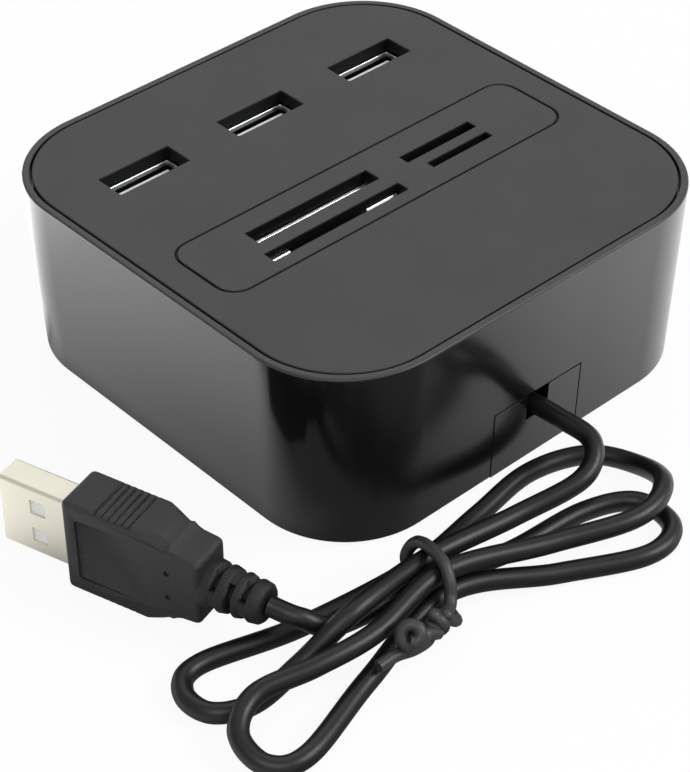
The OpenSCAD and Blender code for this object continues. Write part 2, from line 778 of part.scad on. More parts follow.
outer_shell();
top_plate();
base_cover();
base_screws();
for (i = [1:4]) foot(i);
main_board();
board_screws();
port_board();
reader_board();
for (i = [1:3]) port_shell(i);
for (i = [1:3]) port_tongue(i);
for (i = [1:3]) port_contacts(i);
wide_socket();
wide_socket_cover();
wide_socket_divider();
wide_contacts();
narrow_socket();
narrow_socket_cover();
narrow_contacts();
hub_chip();
reader_chip();
crystal();
capacitors();
cord_clamp();
cord_wires();
cord();
cord_tie();
plug_grip();
plug_shell();
plug_insert();
plug_contacts();
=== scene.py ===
import json
import math

import bmesh
import bpy
from mathutils import Matrix, Vector

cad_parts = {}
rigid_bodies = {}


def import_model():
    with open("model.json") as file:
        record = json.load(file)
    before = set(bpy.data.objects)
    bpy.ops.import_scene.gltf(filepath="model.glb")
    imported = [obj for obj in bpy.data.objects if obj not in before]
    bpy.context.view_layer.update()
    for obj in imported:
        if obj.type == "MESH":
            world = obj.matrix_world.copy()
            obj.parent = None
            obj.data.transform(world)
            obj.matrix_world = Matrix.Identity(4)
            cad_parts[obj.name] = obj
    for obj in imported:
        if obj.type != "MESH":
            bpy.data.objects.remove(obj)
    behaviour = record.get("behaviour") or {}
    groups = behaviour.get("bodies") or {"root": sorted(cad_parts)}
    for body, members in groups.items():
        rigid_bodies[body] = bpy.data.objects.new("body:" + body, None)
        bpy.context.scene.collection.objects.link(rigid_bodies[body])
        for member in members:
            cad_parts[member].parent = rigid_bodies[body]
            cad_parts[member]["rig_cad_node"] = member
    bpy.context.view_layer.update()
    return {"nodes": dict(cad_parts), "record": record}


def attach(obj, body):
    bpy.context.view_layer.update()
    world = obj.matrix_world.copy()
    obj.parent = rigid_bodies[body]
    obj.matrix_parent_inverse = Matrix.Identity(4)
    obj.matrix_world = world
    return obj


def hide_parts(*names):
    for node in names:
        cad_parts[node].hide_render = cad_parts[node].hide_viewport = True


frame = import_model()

mm = 0.001
nodes = frame["nodes"]
print("stage: frame loaded")


# Camera, solved from the photo's rim, walls and openings
camera = {"place": (-200.35, -219.24, 232.92), "azimuth": -42.11, "elevation": 39.30, "roll": -0.55,
          "lens": 112.12, "sensor": 36}


def makeCamera():
    turn, rise, roll = (math.radians(camera[k]) for k in ("azimuth", "elevation", "roll"))
    back = Vector((math.sin(turn) * math.cos(rise), -math.cos(turn) * math.cos(rise), math.sin(rise)))
    level = Vector((math.cos(turn), math.sin(turn), 0))
    up = back.cross(level)
    right = level * math.cos(roll) + up * math.sin(roll)
    crown = up * math.cos(roll) - level * math.sin(roll)
    data = bpy.data.cameras.new("camera")
    data.lens = camera["lens"]
    data.sensor_width = camera["sensor"]
    data.clip_start = 0.01
    eye = bpy.data.objects.new("camera", data)
    bpy.context.scene.collection.objects.link(eye)
    turned = Matrix((right, crown, back)).transposed().to_4x4()
    eye.matrix_world = Matrix.Translation(Vector(camera["place"]) * mm) @ turned
    bpy.context.scene.camera = eye


# Shader maths: a wrapped socket, so that expressions add their own nodes
class Value:
    def __init__(self, sheet, socket):
        self.sheet = sheet
        self.socket = socket

    def math(self, operation, other, flip=False):
        pair = (other, self) if flip else (self, other)
        return self.sheet.node("ShaderNodeMath", {"operation": operation}, dict(enumerate(pair)))

    def __add__(self, other):
        return self.math("ADD", other)

    def __sub__(self, other):
        return self.math("SUBTRACT", other)

    def __rsub__(self, other):
        return self.math("SUBTRACT", other, flip=True)

    def __mul__(self, other):
        return self.math("MULTIPLY", other)

    __radd__ = __add__
    __rmul__ = __mul__

    def ramp(self, low, high):
        return self.sheet.node("ShaderNodeMapRange", {"interpolation_type": "SMOOTHSTEP"},
                               {"Value": self, "From Min": low, "From Max": high})


class Sheet:
    def __init__(self, name):
        self.material = bpy.data.materials.new(name)
        self.material.use_nodes = True
        self.tree = self.material.node_tree
        self.shader = self.tree.nodes["Principled BSDF"]

    def node(self, kind, settings=None, wires=None, out=0):
        made = self.tree.nodes.new(kind)
        for key, value in (settings or {}).items():
            setattr(made, key, value)
        for key, value in (wires or {}).items():
            self.wire(made.inputs[key], value)
        return Value(self, made.outputs[out])

    def wire(self, socket, value):
        if isinstance(value, Value):
            self.tree.links.new(value.socket, socket)
        elif isinstance(value, tuple) and len(value) == 3 and socket.type == "RGBA":
            socket.default_value = (*value, 1)
        else:
            socket.default_value = value

    def place(self):
        return self.node("ShaderNodeTexCoord", out=3)

    def axis(self, which):
        split = self.node("ShaderNodeSeparateXYZ", wires={0: self.place()})
        return Value(self, split.socket.node.outputs[which])

    def noise(self, size, detail=2.0, rough=0.5):
        return self.node("ShaderNodeTexNoise", wires={"Vector": self.place(), "Scale": 1 / size,
                                                      "Detail": detail, "Roughness": rough})

    def grains(self, size):
        return self.node("ShaderNodeTexVoronoi", wires={"Vector": self.place(), "Scale": 1 / size})

    def bump(self, height, depth, strength=1.0, over=None):
        wires = {"Height": height, "Distance": depth, "Strength": strength}
        if over is not None:
            wires["Normal"] = over
        return self.node("ShaderNodeBump", wires=wires)

    def mix(self, share, first, second):
        return self.node("ShaderNodeMix", {"data_type": "RGBA"}, {0: share, 6: first, 7: second}, out=2)

    def finish(self, **wires):
        for key, value in wires.items():
            self.wire(self.shader.inputs[key.replace("_", " ")], value)
        return self.material


def grey(level):
    return (level, level, level * 1.02)


# Finishes, one function each; heights are in mm above the table
gloss = {"colour": 0.004, "rough": 0.1, "softRough": 0.3, "rimColour": 0.03, "rimRough": 0.45,
         "rimFrom": 31.05, "rimTo": 31.25}


# Mirror-like round the cord notch and on the side walls, hazier toward the front corner
def glossRough(s):
    haze = s.noise(9 * mm, 4, 0.6)
    dust = s.noise(0.5 * mm, 3, 0.7).ramp(0.68, 0.78)
    x, y = s.axis(0), s.axis(1)
    front = (0 - y).ramp(0.032, 0.038)
    notch = x.ramp(-0.03, -0.016) * (1 - x.ramp(0.004, 0.012))
    soft = front * (1 - 0.75 * notch)
    return gloss["rough"] + (gloss["softRough"] - gloss["rough"]) * soft + 0.04 * haze + 0.15 * dust


def glossHousing():
    s = Sheet("glossHousing")
    rim = s.axis(2).ramp(gloss["rimFrom"] * mm, gloss["rimTo"] * mm)
    gritty = s.noise(0.16 * mm, 2)
    rough = glossRough(s)
    bump = s.bump(s.noise(14 * mm, 1), 0.02 * mm, 0.5)
    grain = s.bump(gritty * rim, 0.02 * mm, 0.6, bump)
    colour = s.mix(rim, grey(gloss["colour"]), grey(gloss["rimColour"]))
    return s.finish(Base_Color=colour, Roughness=rough + (gloss["rimRough"] - rough) * rim, Normal=grain)


def glossTab():
    s = Sheet("glossTab")
    return s.finish(Base_Color=grey(gloss["colour"]), Roughness=glossRough(s),
                    Normal=s.bump(s.noise(14 * mm, 1), 0.02 * mm, 0.5))


# Grained on its face; near black down the sides of its openings and groove, as painted shade
plate = {"colour": 0.046, "rough": 0.5, "grain": 0.22, "shadeFrom": 30.95, "shadeTo": 31.3}


def satinPlate():
    s = Sheet("satinPlate")
    face = s.axis(2).ramp(plate["shadeFrom"] * mm, plate["shadeTo"] * mm)
    grain = s.noise(plate["grain"] * mm, 3, 0.65)
    broad = s.noise(11 * mm, 3, 0.5)
    speck = s.noise(0.45 * mm, 2, 0.6).ramp(0.6, 0.74)
    mottle = 0.32 * grain + 0.26 * broad + 0.25 * speck
    shade = s.mix(mottle, grey(plate["colour"] * 0.75), grey(plate["colour"] * 1.6))
    # painted shade: below the face, the sides of the openings and groove are near black
    colour = s.mix(face, grey(0.001), shade)
    rough = plate["rough"] + 0.12 * grain - 0.05 * broad
    return s.finish(Base_Color=colour, Roughness=rough, Specular_IOR_Level=0.32,
                    Normal=s.bump(grain * face, 0.035 * mm, 0.7))


def blackMoulding(name, colour, rough, grain, depth):
    s = Sheet(name)
    fine = s.noise(grain * mm, 3, 0.6)
    shade = s.mix(fine, grey(colour * 0.85), grey(colour * 1.15))
    return s.finish(Base_Color=shade, Roughness=rough + 0.1 * fine, Normal=s.bump(fine, depth * mm, 0.6))


# Plug, in its own frame: x from the boot to the tip, y out of its wide face, z across.
# A rib slot is (middle, half width, the way it faces)
plug = {"place": (-54.6, -42.4, 8), "turn": 107, "boot": 9, "bootEnd": 2.95, "bootRoot": 3.6, "neck": 12.4,
        "ribs": [(2.5, 0.5, 0), (4.65, 0.52, 90), (7.1, 0.5, 0)], "ribArc": 128, "ribCore": 1.75,
        "block": 15.6, "face": 30.6, "tip": 42.4, "thick": 8, "wide": 16, "metal": 4.5, "metalWide": 12,
        "inside": 4, "sheet": 0.3, "round": 0.9, "facet": 1.1, "grooves": 6, "grooveStep": 1.1,
        "panelIn": 2.6, "panelDepth": 0.5, "pits": (-2.6, 1.8), "windows": (-2.55, 2.55)}


# The boot is darker than the grip, and nearly black inside its slots as painted shade
def gripPlastic():
    s = Sheet("gripPlastic")
    pebble = s.grains(0.34 * mm)
    fine = s.noise(0.2 * mm, 3, 0.6)
    turn, (x, y, z) = math.radians(plug["turn"]), plug["place"]
    along = (s.axis(0) - x * mm) * math.cos(turn) + (s.axis(1) - y * mm) * math.sin(turn)
    across = (s.axis(1) - y * mm) * math.cos(turn) - (s.axis(0) - x * mm) * math.sin(turn)
    lift = s.axis(2) - z * mm
    body = along.ramp((plug["boot"] - 0.6) * mm, (plug["boot"] + 0.4) * mm)
    # painted shade: the slots' sides near the core fade to near black
    rib = (across * across + lift * lift).ramp((2.0 * mm) ** 2, (2.75 * mm) ** 2)
    shade = s.mix(fine, grey(0.014), grey(0.03))
    shade = s.mix(body, s.mix(rib, grey(0.0005), grey(0.009)), shade)
    normal = s.bump(pebble * 0.6 + fine * 0.5, 0.08 * mm, 0.8)
    return s.finish(Base_Color=shade, Roughness=0.55 + 0.14 * fine, Normal=normal)


def cordJacket():
    s = Sheet("cordJacket")
    fine = s.noise(0.5 * mm, 3, 0.6)
    soft = s.noise(5 * mm, 2)
    normal = s.bump(fine * 0.5 + soft, 0.02 * mm, 0.5)
    return s.finish(Base_Color=grey(0.004), Roughness=0.35 + 0.1 * fine + 0.06 * soft, Normal=normal)


# Given a height, the sheet keeps its colour at its edge and is darkened below it, as painted shade inside the port
def sheetMetal(name, colour, rough, streak=0.4, shadeBelow=None):
    s = Sheet(name)
    fine = s.noise(streak * mm, 4, 0.6)
    broad = s.noise(3 * mm, 2)
    shade = s.mix(fine, tuple(c * 0.93 for c in colour), tuple(min(1, c * 1.05) for c in colour))
    if shadeBelow:
        # painted shade: below the given height the sheet drops to 3 % of its colour
        shade = s.mix(s.axis(2).ramp((shadeBelow - 0.3) * mm, shadeBelow * mm), tuple(c * 0.03 for c in colour), shade)
    return s.finish(Base_Color=shade, Metallic=1.0, Roughness=rough + 0.08 * fine + 0.05 * broad,
                    Normal=s.bump(fine, 0.006 * mm, 0.5))


def plainPlastic(name, colour, rough):
    s = Sheet(name)
    fine = s.noise(0.4 * mm, 2)
    shade = s.mix(fine, tuple(c * 0.94 for c in colour), colour)
    return s.finish(Base_Color=shade, Roughness=rough + 0.08 * fine, Normal=s.bump(fine, 0.01 * mm, 0.4))


# By the record's material slots
finishes = {
    "gloss_housing": glossHousing(),
    "satin_plate": satinPlate(),
    "base_plastic": glossTab(),
    "zinc_screw": sheetMetal("zincScrew", (0.55, 0.55, 0.56), 0.3),
    "foot_rubber": blackMoulding("footRubber", 0.015, 0.75, 0.4, 0.02),
    "circuit_board": plainPlastic("circuitBoard", (0.02, 0.13, 0.06), 0.3),
    "bright_sheet": sheetMetal("brightSheet", (0.95, 0.95, 0.95), 0.3, shadeBelow=28.3),
    "dull_sheet": sheetMetal("dullSheet", (0.2, 0.2, 0.21), 0.4),
    "white_plastic": plainPlastic("whitePlastic", (0.86, 0.86, 0.84), 0.4),
    "contact_metal": sheetMetal("contactMetal", (0.85, 0.62, 0.25), 0.2),
    "socket_plastic": blackMoulding("socketPlastic", 0.012, 0.5, 0.3, 0.01),
    "chip_resin": blackMoulding("chipResin", 0.015, 0.6, 0.2, 0.01),
    "capacitor_sleeve": plainPlastic("capacitorSleeve", (0.03, 0.03, 0.12), 0.25),
    "wire_insulation": plainPlastic("wireInsulation", (0.5, 0.05, 0.05), 0.35),
    "cord_jacket": cordJacket(),
    "tie_plastic": blackMoulding("tiePlastic", 0.034, 0.38, 0.25, 0.06),
    "grip_plastic": gripPlastic(),
    "plug_metal": sheetMetal("plugMetal", (0.84, 0.81, 0.7), 0.45, 0.25),
}
slotOf = {row["node"]: row["material_slot"] for row in frame["record"]["subparts"]}


def dress(piece, slot):
    piece.data.materials.clear()
    piece.data.materials.append(finishes[slot])
    if "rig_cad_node" not in piece:
        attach(piece, "root")
    return piece


def link(name, data):
    piece = bpy.data.objects.new(name, data)
    bpy.context.scene.collection.objects.link(piece)
    return piece


print("stage: finishes made")


# Cord and tie; Y runs from the rim of the -Y wall
cord = {"diameter": 3.0, "steps": 12, "roundness": 5, "wall": -40, "route": [
    (0, 4, 9.5), (0, -3.5, 10), (0, -10, 9.5), (-5, -13, 7.5),
    (-16, -10.5, 5.5), (-32, -9, 6.4), (-47, -11, 8), (-56, -10, 3.4),
    (-64, -10, 1.8), (-69.2, -7.2, 1.7), (-69.4, -2, 1.7), (-64.5, 0.4, 1.7),
    (-50, -3.5, 1.7), (-32, -6.8, 3.3), (-17, -4, 1.7), (-5, -2.5, 1.7),
    (4, -5.5, 1.8), (7.5, -12, 2.2), (5, -19.5, 4.9), (-3, -22, 5),
    (-16, -17.2, 4.8), (-32, -12.4, 6.4), (-46, -14.4, 6.1), (-56, -13.6, 6),
    (-64.5, -11.2, 4.9), (-69.8, -13.8, 3.4), (-69.8, -19.2, 1.9), (-64.5, -21.4, 1.7),
    (-50, -17, 1.7), (-32, -13.5, 3.3), (-17, -20, 1.7), (-5, -26, 1.7),
    (1.8, -24.3, 1.7), (2, -17.4, 1.7), (-5.5, -13.6, 1.7), (-19, -12.4, 1.8),
    (-32, -10.1, 3.3), (-47.5, -8.8, 4.4), (-52.4, -6.4, 7), (-54.6, -2.4, 8)]}
tie = {"diameter": 1.8, "steps": 8, "roundness": 3, "band": [
    (-37.0, -17.8, 5.8), (-35.2, -17.0, 5.0), (-34.0, -16.0, 5.6), (-33.2, -14.9, 7.4), (-32.4, -12.8, 8.9),
    (-31.8, -9.2, 8.95), (-31.4, -6.7, 7.7), (-31.2, -4.9, 5.0), (-31.2, -4.4, 2.8), (-31.4, -6.0, 0.95),
    (-31.8, -9.5, 0.92), (-32.4, -13.4, 0.92), (-33.4, -16.1, 1.5), (-35.0, -17.9, 3.2)],
    "sight": (0.52, 0.57, -0.63),
    "knot": {"start": (-37.9, -17.9, 6.5), "end": (-39.6, -18.8, 4.7), "turns": 0.8, "spread": 0.92, "steps": 8},
    "curl": {"centre": (-43.3, -18.2, 6.5), "radius": 1.85, "turns": 1.3, "climb": 0.98, "steps": 14,
             "level": (0.742, -0.67, 0), "rise": (0.424, 0.47, 0.774)},
    "tail": [(-41.2, -18.9, 4.3), (-43.4, -18.6, 4.0), (-46, -17.9, 4.1), (-49, -17.8, 4.0)]}


def smoothRoute(points, steps):
    route = [Vector((x, y + cord["wall"], z)) * mm for x, y, z in points]
    ends = [2 * route[0] - route[1], *route, 2 * route[-1] - route[-2]]
    line = []
    for a, b, c, d in zip(ends, ends[1:], ends[2:], ends[3:]):
        for j in range(steps):
            t = j / steps
            line.append(0.5 * (2 * b + (c - a) * t + (2 * a - 5 * b + 4 * c - d) * t ** 2
                               + (3 * b - a - 3 * c + d) * t ** 3))
    return line + [route[-1]]


def lineLength(line):
    return sum((b - a).length for a, b in zip(line, line[1:]))


def tube(name, lines, diameter, roundness):
    data = bpy.data.curves.new(name, "CURVE")
    data.dimensions = "3D"
    data.twist_mode = "Z_UP"
    data.bevel_depth = diameter * mm / 2
    data.bevel_resolution = roundness
    data.use_fill_caps = True
    for line in lines:
        spline = data.splines.new("POLY")
        spline.points.add(len(line) - 1)
        for point, place in zip(spline.points, line):
            point.co = (*place, 1)
        spline.use_smooth = True
    return link(name, data)


def makeCord():
    line = smoothRoute(cord["route"], cord["steps"])
    piece = dress(tube("cordJacket", [line], cord["diameter"], cord["roundness"]), "cord_jacket")
    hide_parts("cord")
    return piece, line


# The band's two ends wind round each other about a line across the camera's sight, then one curls up and
# one runs on as a tail
def makeTie():
    knot, curl = tie["knot"], tie["curl"]
    start, end, centre = (Vector(v) for v in (knot["start"], knot["end"], curl["centre"]))
    along = (end - start).normalized()
    side = along.cross(Vector(tie["sight"])).normalized()
    over = side.cross(along)
    strands = []
    for half in (0, math.pi):
        strand = []
        for k in range(knot["steps"] + 1):
            share = k / knot["steps"]
            angle = half + knot["turns"] * math.tau * share
            spread = math.cos(angle) * side + math.sin(angle) * over
            strand.append(start.lerp(end, share) + knot["spread"] * spread)
        strands.append(strand)
    level, rise = Vector(curl["level"]), Vector(curl["rise"])
    ring = []
    for k in range(curl["steps"] + 1):
        share = k / curl["steps"]
        angle = curl["turns"] * math.tau * share
        spoke = math.cos(angle) * level - math.sin(angle) * rise
        ring.append(centre + curl["radius"] * (1 - 0.5 * share) * spoke + curl["climb"] * share * level.cross(rise))
    routes = [strands[0][::-1] + tie["band"] + strands[1][1:] + tie["tail"], strands[0][-2:] + ring]
    lines = [smoothRoute(route, tie["steps"]) for route in routes]
    piece = dress(tube("twistTie", lines, tie["diameter"], tie["roundness"]), "tie_plastic")
    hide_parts("cord_tie")
    return piece


makeCamera()
cordPiece, cordLine = makeCord()
tiePiece = makeTie()
print("stage: camera and cord made, cord length", round(lineLength(cordLine), 4))


# Modelling helpers, in mm until formed() makes the piece in metres

# An outline of (x, z, radius) corners, each with a radius turned into an arc
def fillet(corners, steps=4):
    line = []
    for i, (x, z, r) in enumerate(corners):
        here = Vector((x, z))
        if not r:
            line.append(here)
            continue
        arms = [(Vector(corners[k % len(corners)][:2]) - here).normalized() for k in (i - 1, i + 1)]
        half = arms[0].angle(arms[1]) / 2
        centre = here + (arms[0] + arms[1]).normalized() * (r / math.sin(half))
        ends = [(here + arm * (r / math.tan(half)) - centre).normalized() for arm in arms]
        line += [centre + r * ends[0].slerp(ends[1], k / steps) for k in range(steps + 1)]
    return line


# A profile of (half width, height) carried round a rectangle whose corners turn about (cx, cy)
def carryRound(mesh, profile, cx, cy, steps=16, close=False):
    verts = [mesh.verts.new((x, -cy, z)) for x, z in profile]
    pairs = zip(verts, verts[1:] + verts[:1]) if close else zip(verts, verts[1:])
    edges = [mesh.edges.new(pair) for pair in pairs]
    for quarter in range(4):
        turn = Matrix.Rotation(quarter * math.pi / 2, 3, "Z")
        run = (cy, cx)[quarter % 2]
        out = bmesh.ops.extrude_edge_only(mesh, edges=edges)["geom"]
        fresh = [v for v in out if isinstance(v, bmesh.types.BMVert)]
        edges = [e for e in out if isinstance(e, bmesh.types.BMEdge) and all(v in fresh for v in e.verts)]
        bmesh.ops.translate(mesh, verts=fresh, vec=turn @ Vector((0, 2 * run, 0)))
        pivot = ((1, 1), (-1, 1), (-1, -1), (1, -1))[quarter]
        out = bmesh.ops.spin(mesh, geom=fresh + edges, cent=(pivot[0] * cx, pivot[1] * cy, 0),
                             axis=(0, 0, 1), angle=math.pi / 2, steps=steps)["geom_last"]
        edges = [e for e in out if isinstance(e, bmesh.types.BMEdge)]
    bmesh.ops.remove_doubles(mesh, verts=mesh.verts, dist=0.001)
    return mesh


def closeEnds(mesh):
    rims = [e for e in mesh.edges if e.is_boundary]
    bmesh.ops.holes_fill(mesh, edges=rims, sides=0)
    return mesh


def block(mesh, low, high, rounding=0.0, along=2):
    made = bmesh.ops.create_cube(mesh, size=1)["verts"]
    spans = Vector(high) - Vector(low)
    bmesh.ops.scale(mesh, verts=made, vec=spans)
    bmesh.ops.translate(mesh, verts=made, vec=(Vector(high) + Vector(low)) / 2)
    if rounding:
        edges = {e for v in made for e in v.link_edges}
        chosen = [e for e in edges if abs((e.verts[0].co - e.verts[1].co)[along]) > 1e-6]
        bmesh.ops.bevel(mesh, geom=chosen, offset=rounding, segments=4, affect="EDGES", profile=0.5,
                        material=-1)
    return made


# An outline in the plane across one axis, drawn out along it
def prism(mesh, corners, axis, low, high):
    spots = [list(corner) for corner in corners]
    for spot in spots:
        spot.insert(axis, low)
    base = mesh.faces.new([mesh.verts.new(spot) for spot in spots])
    grown = bmesh.ops.extrude_face_region(mesh, geom=[base])["geom"]
    step = Vector((0, 0, 0))
    step[axis] = high - low
    bmesh.ops.translate(mesh, verts=[v for v in grown if isinstance(v, bmesh.types.BMVert)], vec=step)


def rod(mesh, place, radius, height, segments):
    bmesh.ops.create_cone(mesh, cap_ends=True, segments=segments, radius1=radius, radius2=radius,
                          depth=height, matrix=place)


def formed(mesh, name, move=None):
    bmesh.ops.recalc_face_normals(mesh, faces=mesh.faces)
    bmesh.ops.transform(mesh, matrix=Matrix.Scale(mm, 4) @ (move or Matrix()), verts=mesh.verts)
    data = bpy.data.meshes.new(name)
    mesh.to_mesh(data)
    mesh.free()
    return link(name, data)


# Cuts are baked into the mesh, and the cutters go
def carved(piece, *cutters):
    for cutter in cutters:
        cut = piece.modifiers.new("cut", "BOOLEAN")
        cut.object = cutter
        cut.solver = "EXACT"
    graph = bpy.context.evaluated_depsgraph_get()
    data = bpy.data.meshes.new_from_object(piece.evaluated_get(graph))
    piece.modifiers.clear()
    piece.data = data
    for cutter in cutters:
        bpy.data.objects.remove(cutter)
    return piece


def softened(piece, width, segments=2, sharp=35):
    edge = piece.modifiers.new("edge", "BEVEL")
    edge.width = width * mm
    edge.segments = segments
    edge.limit_method = "ANGLE"
    edge.angle_limit = math.radians(sharp)
    weigh = piece.modifiers.new("weigh", "WEIGHTED_NORMAL")
    weigh.keep_sharp = True
    for face in piece.data.polygons:
        face.use_smooth = True
    return piece


def standsFor(piece, *names):
    dress(piece, slotOf[names[0]])
    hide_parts(*names)
    return piece


# A finished copy of a plain solid: merged, cleaned and with soft edges
def fromSolid(name, newName, width):
    mesh = bmesh.new()
    mesh.from_mesh(nodes[name].data)
    bmesh.ops.remove_doubles(mesh, verts=mesh.verts, dist=0.001 * mm)
    bmesh.ops.dissolve_limit(mesh, angle_limit=math.radians(0.6), verts=mesh.verts, edges=mesh.edges)
    data = bpy.data.meshes.new(newName)
    mesh.to_mesh(data)
    mesh.free()
    return standsFor(softened(link(newName, data), width), name)


# Housing
house = {"half": 40, "foot": 0.6, "height": 30.8, "draft": 1.3, "corner": 23.2, "wall": 1.8, "rim": 1.2,
         "seam": 0.35, "plate": 2.2, "ledge": 1.6, "ledgeThick": 1.4, "edge": 0.4, "tab": 9.02, "tabTop": 12.83,
         "tabIn": 34.9, "steps": 24}
topZ = house["foot"] + house["height"]
underPlate = topZ - house["plate"]


def halfAt(z):
    return house["half"] - house["draft"] * (topZ - z) / house["height"]


def makeHousing():
    low, shelf = house["foot"], underPlate - house["ledgeThick"]
    inner = house["rim"] + house["seam"] + house["ledge"]
    corners = [(halfAt(low), low, house["edge"]), (halfAt(topZ), topZ, house["edge"]),
               (halfAt(topZ) - house["rim"], topZ, 0.15), (halfAt(underPlate) - house["rim"], underPlate, 0),
               (halfAt(underPlate) - inner, underPlate, 0), (halfAt(shelf) - inner, shelf, 0),
               (halfAt(shelf) - house["wall"], shelf, 0), (halfAt(low) - house["wall"], low, 0.2)]
    pivot = house["corner"]
    piece = formed(carryRound(bmesh.new(), fillet(corners), pivot, pivot, house["steps"], close=True), "housing")
    gate = bmesh.new()
    block(gate, (-house["tab"], -house["half"] - 1, -1), (house["tab"], -house["tabIn"], house["tabTop"]))
    return standsFor(softened(carved(piece, formed(gate, "gate")), 0.05), "outer_shell")


makeHousing()
print("stage: housing made")


# Top plate, its openings and the framed field; each slot is (x, y, width, depth)
field = {"half": 33.85, "deep": 7.45, "corner": 3.6, "line": 0.42, "depth": 0.5, "y": -4.4}
ports = {"pitch": 22.8, "y": 21.3, "wide": 12.5, "deep": 5.12, "ease": 0.35, "mouth": 28.9, "length": 14,
         "sheet": 0.3, "corner": 0.5, "tongue": 11.1, "tongueThick": 1.84, "tongueFlat": 1.5, "dip": 0.7,
         "foot": 15.5, "footTop": 18.2, "legIn": 1, "legHalf": 0.5, "legOut": 2.4, "legLow": 4, "legTop": 6}
slots = [(-10.6, -2.7, 23.7, 3.1), (-10.6, -8.0, 26.2, 2.4), (14.4, -3.1, 14.4, 2.0), (15.4, -6.8, 12.4, 1.6)]


def makePlate():
    out, pivot = house["rim"] + house["seam"], house["corner"]
    corners = [(halfAt(underPlate) - out - 2, underPlate, 0), (halfAt(underPlate) - out, underPlate, 0.1),
               (halfAt(topZ) - out, topZ, 0.2), (halfAt(topZ) - out - 2, topZ, 0)]
    mesh = carryRound(bmesh.new(), fillet(corners), pivot, pivot, house["steps"])
    piece = formed(closeEnds(mesh), "topPlate")
    holes = bmesh.new()
    wide, deep = ports["wide"] / 2 + ports["ease"], (ports["deep"] + ports["ease"]) / 2
    for i in (-1, 0, 1):
        x = i * ports["pitch"]
        block(holes, (x - wide, ports["y"] - deep, underPlate - 1), (x + wide, ports["y"] + deep, topZ + 1), 0.2)
    for x, y, w, h in slots:
        block(holes, (x - w / 2, y - h / 2, underPlate - 1), (x + w / 2, y + h / 2, topZ + 1), 0.15)
    groove = bmesh.new()
    reach, bottom = field["half"] - field["line"], topZ - field["depth"]
    profile = [(reach, bottom), (field["half"], bottom), (field["half"], topZ + 1), (reach, topZ + 1)]
    carryRound(groove, profile, field["half"] - field["corner"], field["deep"] - field["corner"], 8, close=True)
    bmesh.ops.translate(groove, verts=groove.verts, vec=(0, field["y"], 0))
    piece = carved(piece, formed(holes, "holes"), formed(groove, "groove"))
    return standsFor(softened(piece, 0.12), "top_plate")


makePlate()
fromSolid("base_cover", "baseCover", 0.12)
print("stage: top plate made")


# Folded shell of an upright port, with two legs that run back through its board
def makePortShell(i):
    w, d, s = ports["wide"] / 2, ports["deep"] / 2, ports["sheet"]
    low, high = ports["mouth"] - ports["length"], ports["mouth"]
    profile = fillet([(w + s, low, 0.1), (w + s, high, 0.149), (w, high, 0.149), (w, low, 0.1)])
    corner = ports["corner"] - s
    mesh = carryRound(bmesh.new(), profile, w - corner, d - corner, 6, close=True)
    for x in (ports["legIn"] - w, w - ports["legIn"]):
        block(mesh, (x - ports["legHalf"], d + s - 0.05, low + ports["legLow"]),
              (x + ports["legHalf"], d + s + ports["legOut"], low + ports["legTop"]))
    place = Matrix.Translation(((i - 2) * ports["pitch"], ports["y"], 0))
    return standsFor(softened(formed(mesh, f"portShell{i}", place), 0.04), f"port_shell_{i}")


def makePortTongue(i):
    x, y, w = (i - 2) * ports["pitch"], ports["y"], ports["tongue"] / 2
    high, back, low = ports["mouth"] - ports["dip"], y + ports["tongueThick"], ports["footTop"] - 0.2
    mesh = bmesh.new()
    block(mesh, (x - ports["wide"] / 2, y - ports["deep"] / 2, ports["foot"]),
          (x + ports["wide"] / 2, y + ports["deep"] / 2, ports["footTop"]))
    prism(mesh, [(y, low), (back, low), (back, high - 1.2), (y + ports["tongueFlat"], high), (y, high)],
          0, x - w, x + w)
    return standsFor(softened(formed(mesh, f"portTongue{i}"), 0.1), f"port_tongue_{i}")


# Lead-in edges of the card slots' sheets, where they show: (back y, top z, reach, from x, to x)
flares = {"wide_socket_cover": [(-1.15, 28.85, 0.8, -22.4, 1.2)],
          "wide_socket_divider": [(-6.82, 29.65, 0.75, -23.6, -18.9), (-6.82, 29.65, 0.42, -3.9, 2.2)]}


def makeFlaredSheet(solid, newName):
    piece = fromSolid(solid, newName, 0.1)
    mesh = bmesh.new()
    for back, rise, reach, left, right in flares[solid]:
        prism(mesh, [(back, rise - 1), (back - reach * 0.45, rise - 1), (back - reach, rise - reach * 0.8),
                     (back - reach * 0.4, rise), (back, rise)], 0, left, right)
    bmesh.ops.recalc_face_normals(mesh, faces=mesh.faces)
    bmesh.ops.scale(mesh, verts=mesh.verts, vec=(mm, mm, mm))
    mesh.from_mesh(piece.data)
    mesh.to_mesh(piece.data)
    mesh.free()


for number in (1, 2, 3):
    makePortShell(number)
    makePortTongue(number)
    fromSolid(f"port_contacts_{number}", f"portContacts{number}", 0.04)
makeFlaredSheet("wide_socket_cover", "wideSocketCover")
makeFlaredSheet("wide_socket_divider", "wideDivider")
fromSolid("narrow_socket_cover", "narrowSocketCover", 0.1)
fromSolid("wide_socket", "wideSocket", 0.08)
fromSolid("narrow_socket", "narrowSocket", 0.08)
print("stage: ports and sockets made")


# Plug
plugMove = Matrix.Translation(plug["place"]) @ Matrix.Rotation(math.radians(plug["turn"]), 4, "Z")
layDown = Matrix.Rotation(math.pi / 2, 4, "Y")


